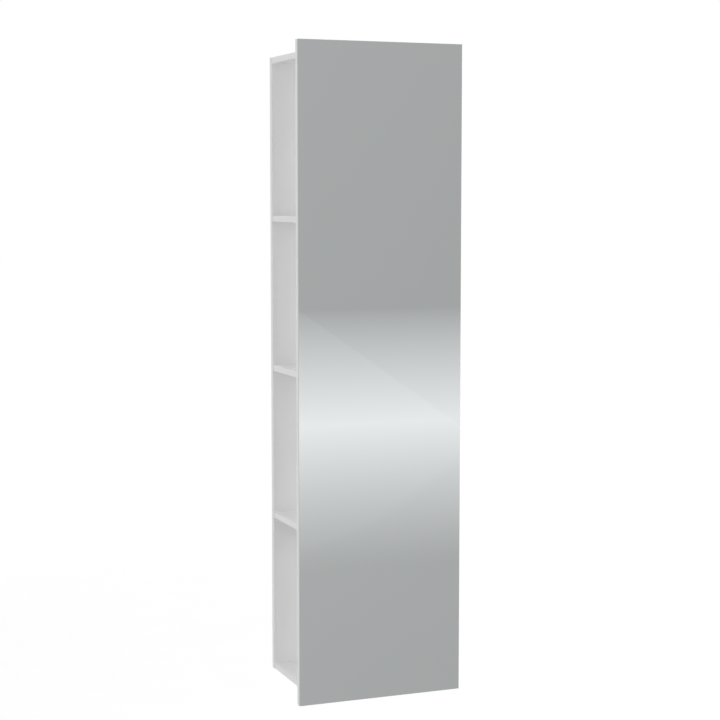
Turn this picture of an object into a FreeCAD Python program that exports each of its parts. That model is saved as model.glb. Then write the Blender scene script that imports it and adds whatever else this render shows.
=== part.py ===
"""Tall wall-hung mirror with an open shelf behind it.

A mirror on a lacquered front board stands in front of a back panel. A top, a bottom and shelves
between the two panels make compartments that are open at both sides. Two height-adjustable hangers
sit in pockets in the rear of the back panel, and each one hangs on a hook that is screwed to the wall.

Millimetres. The origin is on the wall plane, in the middle of the back panel's rear face.
+X is to the right seen from the front, +Y points into the wall and +Z points up.
"""

import FreeCAD
import Part
import os

# Mirror and boards
MIRROR_WIDTH = 450.0
MIRROR_HEIGHT = 1700.0
OVERALL_DEPTH = 296.0
GLASS_THICKNESS = 4.0
BOND_THICKNESS = 0.3
FRONT_THICKNESS = 14.0
BACK_THICKNESS = 16.0
BOARD_THICKNESS = 16.0
OVERHANG = 25.0
SHELF_SET_BACK = 2.0
SHELF_PITCH = 400.0
EDGE_RADIUS = 0.8
GLASS_ARRIS = 0.5
BOND_INSET = 12.0

# Glued wooden dowels between the boards and the two panels
DOWEL_DIAMETER = 8.0
DOWEL_INSET = 48.0
DOWEL_BOARD_DEPTH = 21.0
DOWEL_END_GAP = 0.5
DOWEL_CLEARANCE = 0.05
FRONT_HOLE_COVER = 4.0
BACK_HOLE_COVER = 6.0

# Hangers: place, and the room that moving pieces get
HANGER_INSET = 80.0
POCKET_DROP = 42.0
POCKET_CLEARANCE = 0.3
RUN_CLEARANCE = 0.3
TURN_CLEARANCE = 0.05
TRAVEL = 5.0

# Hanger tray, folded from sheet steel and held by four pan-head screws
TRAY_SHEET = 1.2
TRAY_EDGE_GAP = 1.0
EAR_WIDTH = 14.0
EAR_HEIGHT = 60.0
EAR_SCREW_SPACING = 40.0
TRAY_SCREW_DIAMETER = 3.2
TRAY_SCREW_LENGTH = 12.0
TRAY_HEAD_DIAMETER = 7.0
TRAY_HEAD_HEIGHT = 1.6
TRAY_HEAD_GAP = 0.2
DRIVE_WIDTH = 0.8
DRIVE_LENGTH = 4.0
DRIVE_DEPTH = 0.9

# Adjusting screw, turned from above through a bore in the back panel's top edge
SCREW_DIAMETER = 5.0
COLLAR_LEDGE = 1.0
COLLAR_LENGTH = 3.0
JOURNAL_RISE = 4.0
SOCKET_WALL = 0.75
SOCKET_DEPTH = 3.0
KEY_BORE_CLEARANCE = 0.5
THREAD_END = 1.0
FORK_ARM = 4.0

# Slider, carried by the adjusting screw
SLIDER_SHEET = 2.5
NUT_WALL = 1.0
NUT_CHEEK = 3.5
NUT_LENGTH = 12.0
NUT_TO_WALL = 2.5
SEAT_BAR = 11.0
LEG_WIDTH = 7.0
LEG_LENGTH = 34.0

# Wall hook, bent from sheet steel
HOOK_SHEET = 2.0
HOOK_WIDTH = 24.0
HOOK_SIDE_CLEARANCE = 1.0
HOOK_PLATE_EAR = 5.0
LIP_HEIGHT = 8.0
LIP_CLEARANCE = 0.25
HOOK_HOLE_DIAMETER = 5.5
HOOK_HOLE_DROP = 16.0
HOOK_HOLE_SPACING = 20.0
HOOK_HOLE_EDGE = 11.0
HOOK_CORNER = 4.0

# Planes of the panels, from the wall forwards
GLASS_FRONT = -OVERALL_DEPTH
GLASS_BACK = GLASS_FRONT + GLASS_THICKNESS
FRONT_FACE = GLASS_BACK + BOND_THICKNESS
FRONT_BACK = FRONT_FACE + FRONT_THICKNESS
BACK_FACE = -BACK_THICKNESS

# Half sizes of the mirror and of the carcass behind it
MIRROR_SIDE = MIRROR_WIDTH / 2
MIRROR_TOP = MIRROR_HEIGHT / 2
BACK_SIDE = MIRROR_SIDE - OVERHANG
BACK_TOP = MIRROR_TOP - OVERHANG
BOARD_SIDE = BACK_SIDE - SHELF_SET_BACK

# Each board's name and the height of its middle
BOARD_MIDDLES = {
    "top_panel": BACK_TOP - BOARD_THICKNESS / 2,
    "upper_shelf": SHELF_PITCH,
    "middle_shelf": 0.0,
    "lower_shelf": -SHELF_PITCH,
    "bottom_panel": -BACK_TOP + BOARD_THICKNESS / 2,
}
DOWEL_COLUMNS = (-BOARD_SIDE + DOWEL_INSET, 0.0, BOARD_SIDE - DOWEL_INSET)
HANGER_COLUMNS = {"left": -BACK_SIDE + HANGER_INSET, "right": BACK_SIDE - HANGER_INSET}

# Hanger depths, from the wall plane into the back panel
SCREW_RADIUS = SCREW_DIAMETER / 2
NUT_HALF = SCREW_RADIUS + TURN_CLEARANCE + NUT_WALL
COLLAR_RADIUS = SCREW_RADIUS + COLLAR_LEDGE
AXIS_Y = -(NUT_HALF + NUT_TO_WALL)
SLIDER_BACK = AXIS_Y + SLIDER_SHEET / 2
SLIDER_FRONT = AXIS_Y - SLIDER_SHEET / 2
LIP_BACK = SLIDER_FRONT - LIP_CLEARANCE
LIP_FRONT = LIP_BACK - HOOK_SHEET
TRAY_FLOOR = min(LIP_FRONT, AXIS_Y - NUT_HALF, AXIS_Y - COLLAR_RADIUS) - RUN_CLEARANCE
POCKET_FLOOR = TRAY_FLOOR - TRAY_SHEET
EAR_BACK = -(TRAY_HEAD_GAP + TRAY_HEAD_HEIGHT)
EAR_FRONT = EAR_BACK - TRAY_SHEET

# Hanger widths, measured from its middle
LEG_INNER = HOOK_WIDTH / 2 + HOOK_SIDE_CLEARANCE
LEG_OUTER = LEG_INNER + LEG_WIDTH
TRAY_INNER = LEG_OUTER + RUN_CLEARANCE
TRAY_OUTER = TRAY_INNER + TRAY_SHEET
POCKET_SIDE = TRAY_OUTER + POCKET_CLEARANCE
EAR_SIDE = TRAY_OUTER + EAR_WIDTH
EAR_SCREW_SIDE = TRAY_OUTER + EAR_WIDTH / 2

# Hanger heights, from the pocket's top downwards
POCKET_TOP = BACK_TOP - POCKET_DROP
TRAY_TOP = POCKET_TOP - POCKET_CLEARANCE
TRAY_CEILING = TRAY_TOP - TRAY_SHEET
COLLAR_TOP = TRAY_CEILING - TURN_CLEARANCE
COLLAR_LOW = COLLAR_TOP - COLLAR_LENGTH
FORK_TOP = COLLAR_LOW - RUN_CLEARANCE
FORK_LOW = FORK_TOP - TRAY_SHEET
NUT_TOP = FORK_LOW - TRAVEL - RUN_CLEARANCE
NUT_LOW = NUT_TOP - NUT_LENGTH
SCREW_LOW = NUT_LOW - TRAVEL - THREAD_END
SLOT_LOW = SCREW_LOW - TRAVEL - RUN_CLEARANCE
SEAT = SLOT_LOW - SEAT_BAR
HOOK_HOLES = (SEAT - HOOK_HOLE_DROP, SEAT - HOOK_HOLE_DROP - HOOK_HOLE_SPACING)
HOOK_LOW = HOOK_HOLES[-1] - HOOK_HOLE_EDGE
LEG_LOW = SEAT - LEG_LENGTH
TRAY_GROUND = min(HOOK_LOW, LEG_LOW) - TRAVEL - LIP_HEIGHT - RUN_CLEARANCE
TRAY_LOW = TRAY_GROUND - TRAY_SHEET
POCKET_LOW = TRAY_LOW - POCKET_CLEARANCE
EAR_MIDDLE = (TRAY_TOP + TRAY_LOW) / 2

ALONG_Y = FreeCAD.Vector(0, 1, 0)
ALONG_Z = FreeCAD.Vector(0, 0, 1)


def block(x, y, z):
    """A box from (low, high) pairs along the three axes."""
    corner = FreeCAD.Vector(x[0], y[0], z[0])
    return Part.makeBox(x[1] - x[0], y[1] - y[0], z[1] - z[0], corner)


def rod_along_y(radius, x, z, y_low, y_high):
    return Part.makeCylinder(radius, y_high - y_low, FreeCAD.Vector(x, y_low, z), ALONG_Y)


def rod_along_z(radius, x, y, z_low, z_high):
    return Part.makeCylinder(radius, z_high - z_low, FreeCAD.Vector(x, y, z_low), ALONG_Z)


def edges_along(shape, axis):
    """The straight edges of a box that run along "x", "y" or "z"."""
    chosen = []
    for edge in shape.Edges:
        ends = edge.Vertexes[1].Point - edge.Vertexes[0].Point
        length_along = abs(getattr(ends, axis))
        if length_along > ends.Length * 0.999:
            chosen.append(edge)
    return chosen


def eased(shape, edges, wall):
    """The shape with those edges rounded by the lacquer radius, within the wall it sits on."""
    return shape.makeFillet(min(EDGE_RADIUS, wall / 3), edges)


def mirror_glass():
    slab = block((-MIRROR_SIDE, MIRROR_SIDE), (GLASS_FRONT, GLASS_BACK), (-MIRROR_TOP, MIRROR_TOP))
    return slab.makeChamfer(min(GLASS_ARRIS, GLASS_THICKNESS / 3), slab.Edges)


def mirror_bond():
    """The adhesive film between the glass and the front board, short of their edges."""
    side = MIRROR_SIDE - BOND_INSET
    top = MIRROR_TOP - BOND_INSET
    return block((-side, side), (GLASS_BACK, FRONT_FACE), (-top, top))


def dowel_holes(panel_end, board_end):
    """Cutters for all dowel holes between the two depths."""
    low, high = sorted((panel_end, board_end))
    radius = DOWEL_DIAMETER / 2 + DOWEL_CLEARANCE
    cutters = []
    for middle in BOARD_MIDDLES.values():
        for x in DOWEL_COLUMNS:
            cutters.append(rod_along_y(radius, x, middle, low, high))
    return cutters


def dowels(panel_end, board_end):
    """All dowels between the two depths, with glue room at both ends."""
    low, high = sorted((panel_end, board_end))
    pins = []
    for middle in BOARD_MIDDLES.values():
        for x in DOWEL_COLUMNS:
            pin = rod_along_y(DOWEL_DIAMETER / 2, x, middle, low + DOWEL_END_GAP, high - DOWEL_END_GAP)
            pins.append(pin.makeChamfer(DOWEL_DIAMETER / 10, [pin.Edges[0], pin.Edges[2]]))
    return Part.makeCompound(pins)


FRONT_DOWEL_ENDS = (FRONT_FACE + FRONT_HOLE_COVER, FRONT_BACK + DOWEL_BOARD_DEPTH)
BACK_DOWEL_ENDS = (-BACK_HOLE_COVER, BACK_FACE - DOWEL_BOARD_DEPTH)


def front_board():
    board = block((-MIRROR_SIDE, MIRROR_SIDE), (FRONT_FACE, FRONT_BACK), (-MIRROR_TOP, MIRROR_TOP))
    board = eased(board, board.Edges, FRONT_THICKNESS)
    return board.cut(dowel_holes(*FRONT_DOWEL_ENDS))


def shelf_board(middle):
    """A board between the two panels, with its two open side edges eased."""
    half = BOARD_THICKNESS / 2
    board = block((-BOARD_SIDE, BOARD_SIDE), (FRONT_BACK, BACK_FACE), (middle - half, middle + half))
    board = eased(board, edges_along(board, "y"), BOARD_THICKNESS)
    return board.cut(dowel_holes(*FRONT_DOWEL_ENDS) + dowel_holes(*BACK_DOWEL_ENDS))


def ear_screw_places(column):
    """Where the four screws of one hanger tray go."""
    places = []
    for side in (-1, 1):
        for end in (-1, 1):
            places.append((column + side * EAR_SCREW_SIDE, EAR_MIDDLE + end * EAR_SCREW_SPACING / 2))
    return places


def hanger_cutters(column):
    """The pocket, ear rebate, key bore and screw holes of one hanger in the back panel."""
    ear_side = EAR_SIDE + POCKET_CLEARANCE
    ear_half = EAR_HEIGHT / 2 + POCKET_CLEARANCE
    ear_z = (EAR_MIDDLE - ear_half, EAR_MIDDLE + ear_half)
    pilot = TRAY_SCREW_DIAMETER / 2 + TURN_CLEARANCE
    pilot_end = EAR_BACK - TRAY_SCREW_LENGTH - TRAY_HEAD_GAP
    cutters = [
        block((column - POCKET_SIDE, column + POCKET_SIDE), (POCKET_FLOOR, 0), (POCKET_LOW, POCKET_TOP)),
        block((column - ear_side, column + ear_side), (EAR_FRONT, 0), ear_z),
        rod_along_z(SCREW_RADIUS + KEY_BORE_CLEARANCE, column, AXIS_Y, POCKET_TOP, BACK_TOP),
    ]
    for x, z in ear_screw_places(column):
        cutters.append(rod_along_y(pilot, x, z, pilot_end, EAR_FRONT))
    return cutters


def back_panel():
    panel = block((-BACK_SIDE, BACK_SIDE), (BACK_FACE, 0), (-BACK_TOP, BACK_TOP))
    panel = eased(panel, panel.Edges, BACK_THICKNESS)
    cutters = dowel_holes(*BACK_DOWEL_ENDS)
    for column in HANGER_COLUMNS.values():
        cutters += hanger_cutters(column)
    return panel.cut(cutters)


def hanger_tray(column):
    """A folded tray with two ears, a hole for the screw's journal and a fork under its collar."""
    rim = -TRAY_EDGE_GAP
    inner_z = (TRAY_GROUND, TRAY_CEILING)
    outer = block((column - TRAY_OUTER, column + TRAY_OUTER), (POCKET_FLOOR, rim), (TRAY_LOW, TRAY_TOP))
    inner = block((column - TRAY_INNER, column + TRAY_INNER), (TRAY_FLOOR, rim), inner_z)
    ear_z = (EAR_MIDDLE - EAR_HEIGHT / 2, EAR_MIDDLE + EAR_HEIGHT / 2)
    ears = block((column - EAR_SIDE, column + EAR_SIDE), (EAR_FRONT, EAR_BACK), ear_z)
    fork_half = SCREW_RADIUS + RUN_CLEARANCE + FORK_ARM
    fork_y = (TRAY_FLOOR, AXIS_Y + SCREW_RADIUS)
    fork = block((column - fork_half, column + fork_half), fork_y, (FORK_LOW, FORK_TOP))
    notch_half = SCREW_RADIUS + RUN_CLEARANCE
    notch = block((column - notch_half, column + notch_half), (AXIS_Y, fork_y[1]), (FORK_LOW, FORK_TOP))
    throat = rod_along_z(notch_half, column, AXIS_Y, FORK_LOW, FORK_TOP)
    tray = outer.fuse(ears).cut(inner).fuse(fork.cut([notch, throat]))
    holes = [rod_along_z(SCREW_RADIUS + TURN_CLEARANCE, column, AXIS_Y, TRAY_CEILING, TRAY_TOP)]
    for x, z in ear_screw_places(column):
        holes.append(rod_along_y(TRAY_SCREW_DIAMETER / 2 + TURN_CLEARANCE, x, z, EAR_FRONT, EAR_BACK))
    return tray.cut(holes).removeSplitter()


def tray_screw(x, z):
    """A pan-head wood screw with a cross recess."""
    head_top = EAR_BACK + TRAY_HEAD_HEIGHT
    head = rod_along_y(TRAY_HEAD_DIAMETER / 2, x, z, EAR_BACK, head_top)
    head = head.makeFillet(TRAY_HEAD_HEIGHT / 2, [head.Edges[0]])
    recess_y = (head_top - DRIVE_DEPTH, head_top)
    half, reach = DRIVE_WIDTH / 2, DRIVE_LENGTH / 2
    across = block((x - reach, x + reach), recess_y, (z - half, z + half))
    upright = block((x - half, x + half), recess_y, (z - reach, z + reach))
    shank = rod_along_y(TRAY_SCREW_DIAMETER / 2, x, z, EAR_BACK - TRAY_SCREW_LENGTH, EAR_BACK)
    shank = shank.makeChamfer(TRAY_SCREW_DIAMETER / 4, [shank.Edges[2]])
    return head.cut([across, upright]).fuse(shank).removeSplitter()


def tray_screws():
    screws = []
    for column in HANGER_COLUMNS.values():
        for x, z in ear_screw_places(column):
            screws.append(tray_screw(x, z))
    return Part.makeCompound(screws)


def adjusting_screw(column):
    """A threaded rod with a collar under the tray's top wall and a hexagon socket in its upper end."""
    top = TRAY_TOP + JOURNAL_RISE
    rod = rod_along_z(SCREW_RADIUS, column, AXIS_Y, SCREW_LOW, top)
    rod = rod.makeChamfer(SCREW_RADIUS / 4, [rod.Edges[0], rod.Edges[2]])
    collar = rod_along_z(COLLAR_RADIUS, column, AXIS_Y, COLLAR_LOW, COLLAR_TOP)
    middle = FreeCAD.Vector(column, AXIS_Y, top - SOCKET_DEPTH)
    spoke = FreeCAD.Vector(SCREW_RADIUS - SOCKET_WALL, 0, 0)
    corners = []
    for turn in range(7):
        corners.append(middle + FreeCAD.Rotation(ALONG_Z, 60 * turn).multVec(spoke))
    socket = Part.Face(Part.makePolygon(corners)).extrude(ALONG_Z * SOCKET_DEPTH)
    return rod.fuse(collar).cut(socket).removeSplitter()


def hanger_slider(column):
    """A steel plate with a nut block above and two guide legs below, which sits in the wall hook."""
    plate = block((column - LEG_OUTER, column + LEG_OUTER), (SLIDER_FRONT, SLIDER_BACK), (LEG_LOW, NUT_TOP))
    nut_half_x = SCREW_RADIUS + NUT_CHEEK
    nut_y = (AXIS_Y - NUT_HALF, AXIS_Y + NUT_HALF)
    nut = block((column - nut_half_x, column + nut_half_x), nut_y, (NUT_LOW, NUT_TOP))
    gap = block((column - LEG_INNER, column + LEG_INNER), (SLIDER_FRONT, SLIDER_BACK), (LEG_LOW, SEAT))
    slot_half = SCREW_RADIUS + RUN_CLEARANCE
    slot = block((column - slot_half, column + slot_half), (SLIDER_FRONT, SLIDER_BACK), (SLOT_LOW, NUT_LOW))
    thread = rod_along_z(SCREW_RADIUS + TURN_CLEARANCE, column, AXIS_Y, NUT_LOW, NUT_TOP)
    return plate.cut([gap, slot]).fuse(nut).cut(thread).removeSplitter()


def wall_hook(column):
    """A plate on the wall whose upper end bends forwards under the slider and up in front of it."""
    plate_side = HOOK_WIDTH / 2 + HOOK_PLATE_EAR
    plate = block((column - plate_side, column + plate_side), (-HOOK_SHEET, 0), (HOOK_LOW, SEAT))
    plate = plate.makeFillet(min(HOOK_CORNER, HOOK_PLATE_EAR * 0.9), edges_along(plate, "y"))
    half = HOOK_WIDTH / 2
    tongue = block((column - half, column + half), (LIP_FRONT, -HOOK_SHEET), (SEAT - HOOK_SHEET, SEAT))
    lip = block((column - half, column + half), (LIP_FRONT, LIP_BACK), (SEAT, SEAT + LIP_HEIGHT))
    hook = plate.fuse([tongue, lip]).removeSplitter()
    holes = []
    for z in HOOK_HOLES:
        holes.append(rod_along_y(HOOK_HOLE_DIAMETER / 2, column, z, -HOOK_SHEET, 0))
    return hook.cut(holes)


def pieces():
    """Every node's name and shape."""
    shapes = {
        "mirror_glass": mirror_glass(),
        "mirror_bond": mirror_bond(),
        "front_board": front_board(),
        "back_panel": back_panel(),
        "dowels_front": dowels(*FRONT_DOWEL_ENDS),
        "dowels_back": dowels(*BACK_DOWEL_ENDS),
        "tray_screws": tray_screws(),
    }
    for name, middle in BOARD_MIDDLES.items():
        shapes[name] = shelf_board(middle)
    for side, column in HANGER_COLUMNS.items():
        shapes["hanger_tray_" + side] = hanger_tray(column)
        shapes["hanger_slider_" + side] = hanger_slider(column)
        shapes["adjusting_screw_" + side] = adjusting_screw(column)
        shapes["wall_hook_" + side] = wall_hook(column)
    return shapes


def main():
    os.makedirs("parts", exist_ok=True)
    for name, shape in pieces().items():
        shape.exportStep("parts/" + name + ".step")
        print(f"{name}: {len(shape.Solids)} solids, valid {shape.isValid()}, {shape.Volume / 1000:.1f} cm3")


main()
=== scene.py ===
"""Looks, light and camera for the wall-hung mirror with shelf.

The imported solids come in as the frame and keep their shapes. This script gives each of them its finish,
puts screws with real threads in place of the two plain adjusting screws, and sets up a plain studio
with a pale floor.
Metres, in the frame of the solids: +X to the right seen from the front, +Y into the wall, +Z up.
"""

import math

import bpy
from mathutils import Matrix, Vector


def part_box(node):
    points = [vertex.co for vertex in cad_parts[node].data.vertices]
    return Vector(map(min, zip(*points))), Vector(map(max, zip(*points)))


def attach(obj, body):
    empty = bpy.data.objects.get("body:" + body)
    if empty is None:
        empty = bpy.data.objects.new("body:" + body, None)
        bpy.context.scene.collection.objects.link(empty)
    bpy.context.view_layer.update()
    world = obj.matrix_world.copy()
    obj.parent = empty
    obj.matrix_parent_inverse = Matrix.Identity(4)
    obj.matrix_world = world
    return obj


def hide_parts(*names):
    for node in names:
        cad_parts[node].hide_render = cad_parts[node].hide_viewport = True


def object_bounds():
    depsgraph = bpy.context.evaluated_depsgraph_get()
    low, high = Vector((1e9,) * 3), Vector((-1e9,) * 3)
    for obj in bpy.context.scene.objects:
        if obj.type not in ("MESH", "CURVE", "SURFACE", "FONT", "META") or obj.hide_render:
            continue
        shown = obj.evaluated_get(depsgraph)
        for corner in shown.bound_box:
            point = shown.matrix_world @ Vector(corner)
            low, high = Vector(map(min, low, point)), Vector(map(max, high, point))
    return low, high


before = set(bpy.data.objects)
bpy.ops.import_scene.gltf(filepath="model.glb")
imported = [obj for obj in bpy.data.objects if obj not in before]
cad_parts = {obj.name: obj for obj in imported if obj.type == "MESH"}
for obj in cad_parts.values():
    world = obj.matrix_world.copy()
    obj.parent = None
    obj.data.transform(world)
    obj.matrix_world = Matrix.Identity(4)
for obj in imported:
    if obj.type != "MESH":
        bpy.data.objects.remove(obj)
cad_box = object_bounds()
scene = bpy.context.scene
scene.view_settings.view_transform = "Standard"

# Camera, fitted to the photograph's straight edges
IMAGE_SIDE = 720
SENSOR_MM = 36.0
FOCAL_PIXELS = 1728.84
CAMERA_PLACE = (-1.66491, -4.40743, 0.460)
CAMERA_TURN = math.radians(-21.3441)
CAMERA_TILT = math.radians(-5.4149)

# Floor, well below the part because it hangs on a wall
FLOOR_DROP = 0.35
FLOOR_HALF = 40.0
FLOOR_TONES = (0.78, 0.82)
# The camera sees it just about white. Less is added near the part, where the lamps reach and the shadow lies.
LIFT_FROM = 1.6
LIFT_TO = 5.4
LIFT_NEAR = 0.345
LIFT_FAR = 0.452

# Soft light from all round, and how much it gains from the right, from behind and from above
SOFT_LIGHT = 0.52
SOFT_FROM_RIGHT = -0.34
SOFT_FROM_BEHIND = 0.29
SOFT_FROM_ABOVE = 0.25

# Lamps: place, aim, size and watts. The last two are far off, and their light passes the front board's edge.
MIDDLE = (0.0, -0.15, 0.0)
LAMPS = {
    "left_high": ((-1.8, -0.2, 2.0), (0.0, -0.15, 0.2), 1.0, 3.2),
    "right_low": ((2.6, -1.75, -0.5), MIDDLE, 1.0, 10.0),
    "right_high": ((5.032, -3.418, 4.047), MIDDLE, 1.2, 60.0),
    "right_level": ((5.032, -3.418, 0.525), MIDDLE, 1.2, 90.0),
}

# What the mirror sees: a grey studio with a bright strip, at angles to the horizon in degrees
ROOM_TOP = 5.0
STRIP_TOP = -4.0
STRIP_PEAK = -8.08
STRIP_LOW = -13.2
ROOM_LOW = -17.0
GREY_TOP = 0.484
GREY_ABOVE = 0.468
GREY_BELOW = 0.4915
GREY_LOW = 0.476
STRIP_WHITE = 0.985
RISE_CURVE = 0.86
FALL_CURVE = 1.24
# Keeps the slopes finite straight up, down and sideways
LEAST_AHEAD = 0.001
# The room gets darker to the right, over a short reach round the middle of what the camera sees in it
SIDE_MIDDLE = 0.404
SIDE_REACH = 0.1
SIDE_FADE = -0.12
# A lighter wedge in the strip, between planes through the middle of the room: sharp above and soft below
WEDGE_UPPER = (0.5655, 0.1413, 0.8126)
WEDGE_LOWER_RIGHT = (0.5112, 0.3652, -0.778)
WEDGE_LOWER_LEFT = (0.2799, 0.2999, -0.912)
WEDGE_SHARP = 0.0006
WEDGE_SOFT = 0.0046
WEDGE_LIFT = 0.030
WEDGE_EDGE = 0.06
WEDGE_FADE = 0.5
WEDGE_FADE_END = -10.5
# A second strip, which only views from above see
SECOND_TOP = -22.0
SECOND_PEAK = -34.0
SECOND_LOW = -48.0
SECOND_LIFT = 0.34

# Tones and roughness of the finishes
WHITE = 0.895
WHITE_SPREAD = 0.010
LACQUER_ROUGHNESS = (0.36, 0.44)
MIRROR_TINT = (0.784, 0.810, 0.809)
MIRROR_SPREAD = 0.003
GLASS_EDGE_ROUGHNESS = (0.16, 0.22)
ADHESIVE_ROUGHNESS = (0.5, 0.65)
BEECH_ROUGHNESS = (0.55, 0.7)
ZINC_PLATE = (0.62, 0.64, 0.66)
ZINC_ROUGHNESS = (0.26, 0.44)
SCREW_STEEL = (0.70, 0.70, 0.70)
STEEL_ROUGHNESS = (0.18, 0.36)
# Where most values of a noise lie
NOISE_BODY = (0.3, 0.7)
# How deep under the back panel's faces its bare board starts, and how deep under its rear face
CUT_DEPTH = 0.0012
REAR_CUT_DEPTH = 0.0003
# Normals of the glass past this belong to its front or rear face, not to its edges
FACING = 0.9

# Adjusting screws, in millimetres: M5 thread under a collar, and a hexagon socket at the top
MM = 0.001
TURN_STEPS = 36
SCREW_RADIUS = 2.5
THREAD_PITCH = 0.8
THREAD_DEPTH = 0.49
CREST_FLAT = 0.10
ROOT_FLAT = 0.14
THREAD_FADE = 0.8
TIP_RADIUS = 1.6
TIP_LENGTH = 0.4
COLLAR_BELOW_TOP = 5.25
COLLAR_LENGTH = 3.0
COLLAR_RADIUS = 3.5
COLLAR_CHAMFER = 0.25
SHANK_LENGTH = 1.65
TOP_CHAMFER = 0.625
SOCKET_RIM = 1.80
SOCKET_CORNER = 1.75
SOCKET_BEVEL = 0.15
SOCKET_DEPTH = 3.0
SHARP_ANGLE = math.radians(25.0)


class Nodes:
    """A node tree with short calls to add and join nodes."""

    def __init__(self, tree):
        self.tree = tree
        tree.nodes.clear()

    def add(self, kind, inputs=None, **settings):
        node = self.tree.nodes.new(kind)
        for name, value in settings.items():
            setattr(node, name, value)
        for name, value in (inputs or {}).items():
            self.put(node.inputs[name], value)
        return node

    def put(self, socket, value):
        """Joins an output to the socket, or sets the socket's own value."""
        if isinstance(value, bpy.types.NodeSocket):
            self.tree.links.new(value, socket)
        else:
            socket.default_value = value

    def math(self, operation, *values):
        node = self.add("ShaderNodeMath", operation=operation)
        for socket, value in zip(node.inputs, values):
            self.put(socket, value)
        return node.outputs[0]

    def product(self, *values):
        result = values[0]
        for value in values[1:]:
            result = self.math("MULTIPLY", result, value)
        return result

    def span(self, value, given, wanted=(0.0, 1.0), smooth=False):
        """Maps value from the given range to the wanted one, and stops at both ends."""
        kind = "SMOOTHSTEP" if smooth else "LINEAR"
        node = self.add("ShaderNodeMapRange", interpolation_type=kind, clamp=True)
        for socket, number in zip(node.inputs, (value, *given, *wanted)):
            self.put(socket, number)
        return node.outputs[0]

    def mix(self, factor, first, second, blend="MIX"):
        """Mixes two colours."""
        node = self.add("ShaderNodeMix", data_type="RGBA", blend_type=blend)
        self.put(node.inputs["Factor"], factor)
        self.put(node.inputs["A"], first)
        self.put(node.inputs["B"], second)
        return node.outputs["Result"]

    def noise(self, place, scale, detail=3.0, roughness=0.5):
        inputs = {"Vector": place, "Scale": scale, "Detail": detail, "Roughness": roughness}
        return self.add("ShaderNodeTexNoise", inputs).outputs["Fac"]

    def stretched(self, place, scale):
        return self.add("ShaderNodeMapping", {"Vector": place, "Scale": scale}).outputs[0]

    def parts_of(self, vector):
        """The outputs X, Y and Z of a vector."""
        return self.add("ShaderNodeSeparateXYZ", {"Vector": vector}).outputs

    def bump(self, height, strength, distance):
        inputs = {"Height": height, "Strength": strength, "Distance": distance}
        return self.add("ShaderNodeBump", inputs).outputs["Normal"]


def colour(red, green=None, blue=None):
    """A colour with full alpha, grey when only one number is given."""
    if green is None:
        green = blue = red
    return (red, green, blue, 1.0)


def shaded(tone, share):
    """A tone made darker or lighter, as a colour."""
    return colour(*[min(1.0, part * share) for part in tone])


def material(name):
    made = bpy.data.materials.new(name)
    made.use_nodes = True
    nodes = Nodes(made.node_tree)
    shader = nodes.add("ShaderNodeBsdfPrincipled")
    out = nodes.add("ShaderNodeOutputMaterial")
    nodes.put(out.inputs["Surface"], shader.outputs[0])
    place = nodes.add("ShaderNodeTexCoord").outputs["Object"]
    return made, nodes, shader, place


def lacquer_on(nodes, shader, place):
    """Satin white lacquer: faint cloudiness, orange peel and uneven gloss. Returns its colour."""
    cloud = nodes.noise(place, scale=5.0, detail=4.0)
    tone = nodes.mix(cloud, colour(WHITE - WHITE_SPREAD), colour(WHITE + WHITE_SPREAD))
    peel = nodes.noise(place, scale=420.0, detail=2.0)
    nodes.put(shader.inputs["Normal"], nodes.bump(peel, strength=0.13, distance=0.0004))
    gloss = nodes.span(nodes.noise(place, scale=24.0), NOISE_BODY, LACQUER_ROUGHNESS)
    nodes.put(shader.inputs["Roughness"], gloss)
    return tone


def white_lacquer():
    made, nodes, shader, place = material("white_lacquer")
    nodes.put(shader.inputs["Base Color"], lacquer_on(nodes, shader, place))
    return made


def back_panel_finish():
    """White lacquer outside, bare fibreboard in the pockets and bores that are cut into the rear."""
    made, nodes, shader, place = material("white_lacquer_cut")
    low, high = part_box("back_panel")
    xyz = nodes.parts_of(place)
    bare = nodes.product(
        nodes.math("LESS_THAN", nodes.math("ABSOLUTE", xyz["X"]), high.x - CUT_DEPTH),
        nodes.math("LESS_THAN", nodes.math("ABSOLUTE", xyz["Z"]), high.z - CUT_DEPTH),
        nodes.math("LESS_THAN", xyz["Y"], high.y - REAR_CUT_DEPTH),
        nodes.math("GREATER_THAN", xyz["Y"], low.y + CUT_DEPTH),
    )
    fibres = nodes.noise(place, scale=900.0, detail=6.0, roughness=0.7)
    dark = colour(0.36, 0.25, 0.155)
    light = colour(0.52, 0.39, 0.26)
    board = nodes.mix(fibres, dark, light)
    tone = nodes.mix(bare, lacquer_on(nodes, shader, place), board)
    nodes.put(shader.inputs["Base Color"], tone)
    return made


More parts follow.
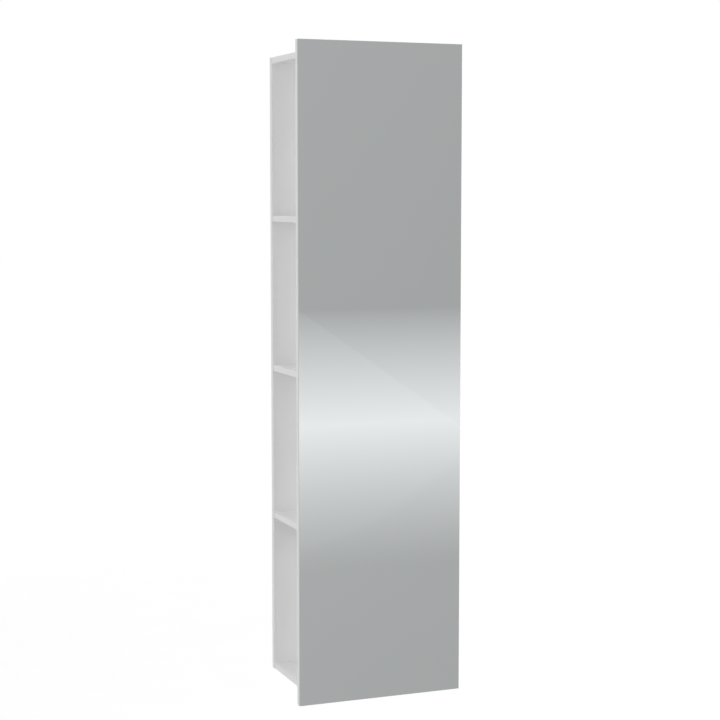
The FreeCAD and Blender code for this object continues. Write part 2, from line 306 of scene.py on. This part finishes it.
def mirror():
    """Silvered front, polished edges with a green cast, and painted backing."""
    made, nodes, shader, place = material("mirror_glass")
    normal = nodes.add("ShaderNodeTexCoord").outputs["Normal"]
    facing = nodes.parts_of(normal)["Y"]
    front = nodes.math("LESS_THAN", facing, -FACING)
    rear = nodes.math("GREATER_THAN", facing, FACING)
    haze = nodes.noise(place, scale=3.0, detail=2.0)
    dim = shaded(MIRROR_TINT, 1.0 - MIRROR_SPREAD)
    clear = shaded(MIRROR_TINT, 1.0 + MIRROR_SPREAD)
    silver = nodes.mix(haze, dim, clear)
    ripple = nodes.noise(place, scale=60.0)
    edge = nodes.mix(ripple, colour(0.60, 0.66, 0.64), colour(0.66, 0.71, 0.69))
    paint = nodes.mix(ripple, colour(0.30, 0.31, 0.32), colour(0.34, 0.35, 0.36))
    tone = nodes.mix(rear, nodes.mix(front, edge, silver), paint)
    nodes.put(shader.inputs["Base Color"], tone)
    nodes.put(shader.inputs["Metallic"], front)
    polish = nodes.span(ripple, NOISE_BODY, GLASS_EDGE_ROUGHNESS)
    rough = nodes.product(nodes.math("SUBTRACT", 1.0, front), polish)
    nodes.put(shader.inputs["Roughness"], rough)
    return made


def adhesive():
    made, nodes, shader, place = material("adhesive")
    lumps = nodes.noise(place, scale=140.0)
    tone = nodes.mix(lumps, colour(0.74, 0.74, 0.72), colour(0.84, 0.84, 0.82))
    nodes.put(shader.inputs["Base Color"], tone)
    nodes.put(shader.inputs["Roughness"], nodes.span(lumps, NOISE_BODY, ADHESIVE_ROUGHNESS))
    return made


def beech():
    """Turned beech: pale wood with fine flecks along the dowel."""
    made, nodes, shader, place = material("beech")
    along = nodes.stretched(place, (1.0, 0.08, 1.0))
    grain = nodes.noise(along, scale=1500.0, detail=5.0, roughness=0.6)
    fleck = colour(0.56, 0.37, 0.21)
    pale = colour(0.74, 0.56, 0.37)
    tone = nodes.mix(grain, fleck, pale)
    nodes.put(shader.inputs["Base Color"], tone)
    nodes.put(shader.inputs["Roughness"], nodes.span(grain, NOISE_BODY, BEECH_ROUGHNESS))
    nodes.put(shader.inputs["Normal"], nodes.bump(grain, strength=0.2, distance=0.0002))
    return made


def zinc(name, tone, roughness):
    """Zinc-plated steel: crystal patches, a faint blue to straw tint, drawn lines and uneven gloss."""
    made, nodes, shader, place = material(name)
    shader.inputs["Metallic"].default_value = 1.0
    crystals = nodes.add("ShaderNodeTexVoronoi", {"Vector": place, "Scale": 320.0}).outputs["Color"]
    patch = nodes.add("ShaderNodeSeparateColor", {"Color": crystals}).outputs[0]
    drawn = nodes.stretched(place, (1.0, 1.0, 0.04))
    lines = nodes.noise(drawn, scale=1800.0, roughness=0.6)
    clouds = nodes.span(nodes.noise(place, scale=90.0), (0.35, 0.65))
    blend = nodes.math("ADD", nodes.product(patch, 0.5), nodes.product(lines, 0.5))
    dark = shaded(tone, 0.84)
    light = shaded(tone, 1.14)
    plated = nodes.mix(blend, dark, light)
    blue = colour(0.93, 0.98, 1.0)
    straw = colour(1.0, 0.985, 0.94)
    tint = nodes.mix(clouds, blue, straw)
    nodes.put(shader.inputs["Base Color"], nodes.mix(1.0, plated, tint, blend="MULTIPLY"))
    nodes.put(shader.inputs["Roughness"], nodes.span(blend, (0.2, 0.8), roughness))
    nodes.put(shader.inputs["Normal"], nodes.bump(lines, strength=0.16, distance=0.0001))
    return made


def hexagon(angle):
    """The radius of the socket's hexagon at an angle, with a corner on +X."""
    sixth = math.pi / 3
    return SOCKET_CORNER * math.cos(sixth / 2) / math.cos(angle % sixth - sixth / 2)


def ease(value):
    """A smooth step from 0 to 1."""
    value = min(1.0, max(0.0, value))
    return value * value * (3.0 - 2.0 * value)


class Turned:
    """A closed mesh of points round an upright axis, in millimetres, built from below."""

    def __init__(self):
        self.points = []
        self.faces = []

    def point(self, radius, angle, height):
        self.points.append((radius * math.cos(angle), radius * math.sin(angle), height))
        return len(self.points) - 1

    def ring(self, radius, height):
        """One ring of points. The radius is a number, or a function of the angle."""
        angles = [math.tau * step / TURN_STEPS for step in range(TURN_STEPS)]
        return [self.point(radius(a) if callable(radius) else radius, a, height) for a in angles]

    def rings(self, below, profile):
        """Rings at the profile's radii and heights, each joined to the one before. Returns the last."""
        for radius, height in profile:
            ring = self.ring(radius, height)
            for step in range(TURN_STEPS):
                after = (step + 1) % TURN_STEPS
                self.faces.append((below[step], below[after], ring[after], ring[step]))
            below = ring
        return below

    def thread_points(self, low, turns):
        """The thread's points by step round the axis and by row, with one row for each corner of its section.

        The crest grows out of the root in the first turns, and the root runs out into the shank in the last.
        """
        flank = (THREAD_PITCH - CREST_FLAT - ROOT_FLAT) / 2
        crest_from = ROOT_FLAT + flank
        corners = [(0.0, False), (ROOT_FLAT, False), (crest_from, True), (crest_from + CREST_FLAT, True)]
        per_turn = len(corners)
        last = per_turn * turns
        grown_from = low + THREAD_PITCH
        run_out = low + turns * THREAD_PITCH - THREAD_FADE
        grid = {}
        for row in range(last + per_turn + 1):
            offset, on_crest = corners[row % per_turn]
            fade_from = grown_from if on_crest else run_out
            for step in range(TURN_STEPS if row <= last else 1):
                turn = step / TURN_STEPS
                height = low + (row // per_turn + turn) * THREAD_PITCH + offset
                depth = THREAD_DEPTH * (1.0 - ease((height - fade_from) / THREAD_FADE))
                grid[step, row] = self.point(SCREW_RADIUS - depth, math.tau * turn, height)
        for row in range(last + 1):
            grid[TURN_STEPS, row] = grid[0, row + per_turn]
        return grid, per_turn, last

    def thread(self, below, low, high):
        """A right-hand thread from the ring below to a plain shank. Returns the ring at the shank's start.

        Each turn starts where the one before ends, so at both ends one face takes in the thread's section.
        """
        turns = int((high - low) / THREAD_PITCH) - 1
        grid, per_turn, last = self.thread_points(low, turns)
        for row in range(last):
            for step in range(TURN_STEPS):
                after = step + 1
                face = (grid[step, row], grid[after, row], grid[after, row + 1], grid[step, row + 1])
                self.faces.append(face)
        section = [grid[0, row] for row in range(per_turn)]
        for step in range(TURN_STEPS):
            after = (step + 1) % TURN_STEPS
            side = section if step == TURN_STEPS - 1 else []
            self.faces.append((below[step], below[after], *side, grid[step + 1, 0], grid[step, 0]))
        above = self.ring(SCREW_RADIUS, high)
        section = [grid[0, last + row] for row in range(per_turn, 0, -1)]
        for step in range(TURN_STEPS):
            after = (step + 1) % TURN_STEPS
            side = section if step == 0 else []
            self.faces.append((grid[step, last], grid[step + 1, last], above[after], above[step], *side))
        return above

    def made(self, name, axis):
        """The mesh as an object, with its axis at a place in metres."""
        points = [(axis.x + x * MM, axis.y + y * MM, z * MM) for x, y, z in self.points]
        mesh = bpy.data.meshes.new(name)
        mesh.from_pydata(points, [], self.faces)
        mesh.shade_smooth()
        mesh.set_sharp_from_angle(angle=SHARP_ANGLE)
        piece = bpy.data.objects.new(name, mesh)
        scene.collection.objects.link(piece)
        return piece


def adjusting_screw(side, finish):
    """A screw with its real thread, in place of the plain one."""
    node = "adjusting_screw_" + side
    low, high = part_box(node)
    bottom, top = low.z / MM, high.z / MM
    collar_top = top - COLLAR_BELOW_TOP
    collar_low = collar_top - COLLAR_LENGTH
    thread_low = bottom + TIP_LENGTH
    turned = Turned()
    tip = turned.ring(TIP_RADIUS, bottom)
    turned.faces.append(tuple(reversed(tip)))
    start = turned.rings(tip, [(SCREW_RADIUS - THREAD_DEPTH, thread_low)])
    shank = turned.thread(start, thread_low, collar_low - SHANK_LENGTH)
    socket = turned.rings(shank, [
        (SCREW_RADIUS, collar_low),
        (COLLAR_RADIUS - COLLAR_CHAMFER, collar_low),
        (COLLAR_RADIUS, collar_low + COLLAR_CHAMFER),
        (COLLAR_RADIUS, collar_top - COLLAR_CHAMFER),
        (COLLAR_RADIUS - COLLAR_CHAMFER, collar_top),
        (SCREW_RADIUS, collar_top),
        (SCREW_RADIUS, top - TOP_CHAMFER),
        (SCREW_RADIUS - TOP_CHAMFER, top),
        (SOCKET_RIM, top),
        (hexagon, top - SOCKET_BEVEL),
        (hexagon, top - SOCKET_DEPTH),
    ])
    turned.faces.append(tuple(socket))
    piece = turned.made("threaded_screw_" + side, (low + high) / 2)
    piece.data.materials.append(finish)
    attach(piece, side + "_screw")
    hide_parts(node)


def dress():
    """Gives every solid its finish, and puts threaded screws in place of the plain ones."""
    boards = white_lacquer()
    wood = beech()
    plate = zinc("zinc_plate", ZINC_PLATE, ZINC_ROUGHNESS)
    bright = zinc("screw_steel", SCREW_STEEL, STEEL_ROUGHNESS)
    finish = {
        "mirror_glass": mirror(),
        "mirror_bond": adhesive(),
        "back_panel": back_panel_finish(),
        "dowels_front": wood,
        "dowels_back": wood,
        "tray_screws": bright,
    }
    for name in ("front_board", "top_panel", "upper_shelf", "middle_shelf", "lower_shelf", "bottom_panel"):
        finish[name] = boards
    for side in ("left", "right"):
        for part in ("hanger_tray_", "hanger_slider_", "wall_hook_"):
            finish[part + side] = plate
        finish["adjusting_screw_" + side] = bright
    for name, chosen in finish.items():
        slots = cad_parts[name].data.materials
        slots.clear()
        slots.append(chosen)
    for side in ("left", "right"):
        adjusting_screw(side, bright)


def camera():
    data = bpy.data.cameras.new("camera")
    data.sensor_width = SENSOR_MM
    data.lens = FOCAL_PIXELS / IMAGE_SIDE * SENSOR_MM
    made = bpy.data.objects.new("camera", data)
    made.location = CAMERA_PLACE
    made.rotation_euler = (math.pi / 2 + CAMERA_TILT, 0.0, CAMERA_TURN)
    scene.collection.objects.link(made)
    scene.camera = made


def slopes(*degrees):
    return tuple(math.tan(math.radians(d)) for d in degrees)


def side_of_plane(nodes, way, normal, soft):
    """1 where the direction lies on the side that the plane's normal points away from, with a soft edge."""
    along = nodes.add("ShaderNodeVectorMath", operation="DOT_PRODUCT")
    nodes.put(along.inputs[0], way)
    nodes.put(along.inputs[1], normal)
    return nodes.span(along.outputs["Value"], (soft, -soft), smooth=True)


def bright_strip(nodes, slope):
    """The strip, from 0 outside it to 1 at its peak."""
    rise = nodes.math("POWER", nodes.span(slope, slopes(STRIP_TOP, STRIP_PEAK)), RISE_CURVE)
    fall = nodes.math("POWER", nodes.span(slope, slopes(STRIP_LOW, STRIP_PEAK)), FALL_CURVE)
    return nodes.math("MINIMUM", rise, fall)


def second_strip(nodes, slope):
    """The lower strip, from 0 outside it to 1 at its peak."""
    rise = nodes.span(slope, slopes(SECOND_TOP, SECOND_PEAK), smooth=True)
    fall = nodes.span(slope, slopes(SECOND_LOW, SECOND_PEAK), smooth=True)
    return nodes.math("MINIMUM", rise, fall)


def grey_room(nodes, slope):
    """The grey above the strip's peak and below it."""
    above = nodes.span(slope, slopes(STRIP_TOP, ROOM_TOP), (GREY_ABOVE, GREY_TOP))
    below = nodes.span(slope, slopes(ROOM_LOW, STRIP_LOW), (GREY_LOW, GREY_BELOW))
    under = nodes.math("LESS_THAN", slope, slopes(STRIP_PEAK)[0])
    over = nodes.math("SUBTRACT", 1.0, under)
    return nodes.math("ADD", nodes.product(under, below), nodes.product(over, above))


def wedge_in_strip(nodes, way, slope, strip):
    """The wedge, from 0 outside it to 1 at the strip's peak."""
    return nodes.product(
        side_of_plane(nodes, way, WEDGE_UPPER, WEDGE_SHARP),
        side_of_plane(nodes, way, WEDGE_LOWER_RIGHT, WEDGE_SOFT),
        side_of_plane(nodes, way, WEDGE_LOWER_LEFT, WEDGE_SOFT),
        nodes.span(strip, (0.0, WEDGE_EDGE)),
        nodes.span(slope, slopes(WEDGE_FADE_END, STRIP_PEAK), (WEDGE_FADE, 1.0)),
    )


def mirrored_room(nodes, way, xyz):
    """The level of the studio that the mirror sees, in a direction."""
    ahead = nodes.math("MAXIMUM", nodes.math("ABSOLUTE", xyz["Y"]), LEAST_AHEAD)
    slope = nodes.math("DIVIDE", xyz["Z"], ahead)
    side = nodes.math("DIVIDE", xyz["X"], ahead)
    grey = grey_room(nodes, slope)
    strip = bright_strip(nodes, slope)
    reach = (-SIDE_REACH, SIDE_REACH)
    off_middle = nodes.span(nodes.math("SUBTRACT", side, SIDE_MIDDLE), reach, reach)
    fade = nodes.product(off_middle, SIDE_FADE, nodes.math("SUBTRACT", 1.0, strip))
    level = nodes.math("ADD", grey, fade)
    level = nodes.math("MULTIPLY_ADD", strip, nodes.math("SUBTRACT", STRIP_WHITE, grey), level)
    level = nodes.math("MULTIPLY_ADD", wedge_in_strip(nodes, way, slope, strip), WEDGE_LIFT, level)
    return nodes.math("MULTIPLY_ADD", second_strip(nodes, slope), SECOND_LIFT, level)


def soft_light(nodes, xyz):
    """The level of the soft light, in a direction."""
    level = nodes.math("MULTIPLY_ADD", xyz["X"], SOFT_FROM_RIGHT, SOFT_LIGHT)
    level = nodes.math("MULTIPLY_ADD", xyz["Y"], SOFT_FROM_BEHIND, level)
    return nodes.math("MULTIPLY_ADD", xyz["Z"], SOFT_FROM_ABOVE, level)


def studio():
    """White to the camera, a grey room with bright strips to the mirror, and soft light to all else."""
    world = bpy.data.worlds.new("studio")
    scene.world = world
    world.use_nodes = True
    nodes = Nodes(world.node_tree)
    path = nodes.add("ShaderNodeLightPath").outputs
    way = nodes.add("ShaderNodeTexCoord").outputs["Generated"]
    xyz = nodes.parts_of(way)
    room = nodes.add("ShaderNodeBackground", {"Color": mirrored_room(nodes, way, xyz), "Strength": 1.0})
    white = nodes.add("ShaderNodeBackground", {"Color": colour(1.0), "Strength": 1.0})
    soft = nodes.add("ShaderNodeBackground", {"Color": colour(1.0), "Strength": soft_light(nodes, xyz)})
    seen = soft
    for ray, other in (("Is Glossy Ray", room), ("Is Camera Ray", white)):
        choice = nodes.add("ShaderNodeMixShader")
        for socket, value in zip(choice.inputs, (path[ray], seen.outputs[0], other.outputs[0])):
            nodes.put(socket, value)
        seen = choice
    out = nodes.add("ShaderNodeOutputWorld")
    nodes.put(out.inputs["Surface"], seen.outputs[0])


def floor_finish():
    """Pale and matt, with a little white added for the camera."""
    pale = bpy.data.materials.new("floor")
    pale.use_nodes = True
    nodes = Nodes(pale.node_tree)
    place = nodes.add("ShaderNodeTexCoord").outputs["Object"]
    speckle = nodes.noise(place, scale=6.0, detail=4.0)
    matt = nodes.add("ShaderNodeBsdfDiffuse", {"Color": nodes.mix(speckle, *map(colour, FLOOR_TONES))})
    away = nodes.add("ShaderNodeVectorMath", {"Vector": place}, operation="LENGTH").outputs["Value"]
    seen = nodes.add("ShaderNodeLightPath").outputs["Is Camera Ray"]
    level = nodes.product(seen, nodes.span(away, (LIFT_FROM, LIFT_TO), (LIFT_NEAR, LIFT_FAR)))
    lift = nodes.add("ShaderNodeEmission", {"Color": colour(1.0), "Strength": level})
    both = nodes.add("ShaderNodeAddShader")
    nodes.put(both.inputs[0], matt.outputs[0])
    nodes.put(both.inputs[1], lift.outputs[0])
    out = nodes.add("ShaderNodeOutputMaterial")
    nodes.put(out.inputs["Surface"], both.outputs[0])
    return pale


def floor():
    height = cad_box[0].z - FLOOR_DROP
    corners = ((-1, -1), (1, -1), (1, 1), (-1, 1))
    points = [(x * FLOOR_HALF, y * FLOOR_HALF, height) for x, y in corners]
    mesh = bpy.data.meshes.new("floor")
    mesh.from_pydata(points, [], [(0, 1, 2, 3)])
    mesh.materials.append(floor_finish())
    made = bpy.data.objects.new("floor", mesh)
    made.visible_glossy = False
    scene.collection.objects.link(made)


def lamp(name, place, aim, size, watts):
    """A round lamp that lights the part but doesn't show in the mirror or on its arrises."""
    data = bpy.data.lights.new(name, "AREA")
    data.shape = "DISK"
    data.size = size
    data.energy = watts
    made = bpy.data.objects.new(name, data)
    made.location = place
    made.rotation_euler = (Vector(aim) - Vector(place)).to_track_quat("-Z", "Y").to_euler()
    made.visible_glossy = False
    scene.collection.objects.link(made)


dress()
studio()
floor()
for name, facts in LAMPS.items():
    lamp(name, *facts)
camera()
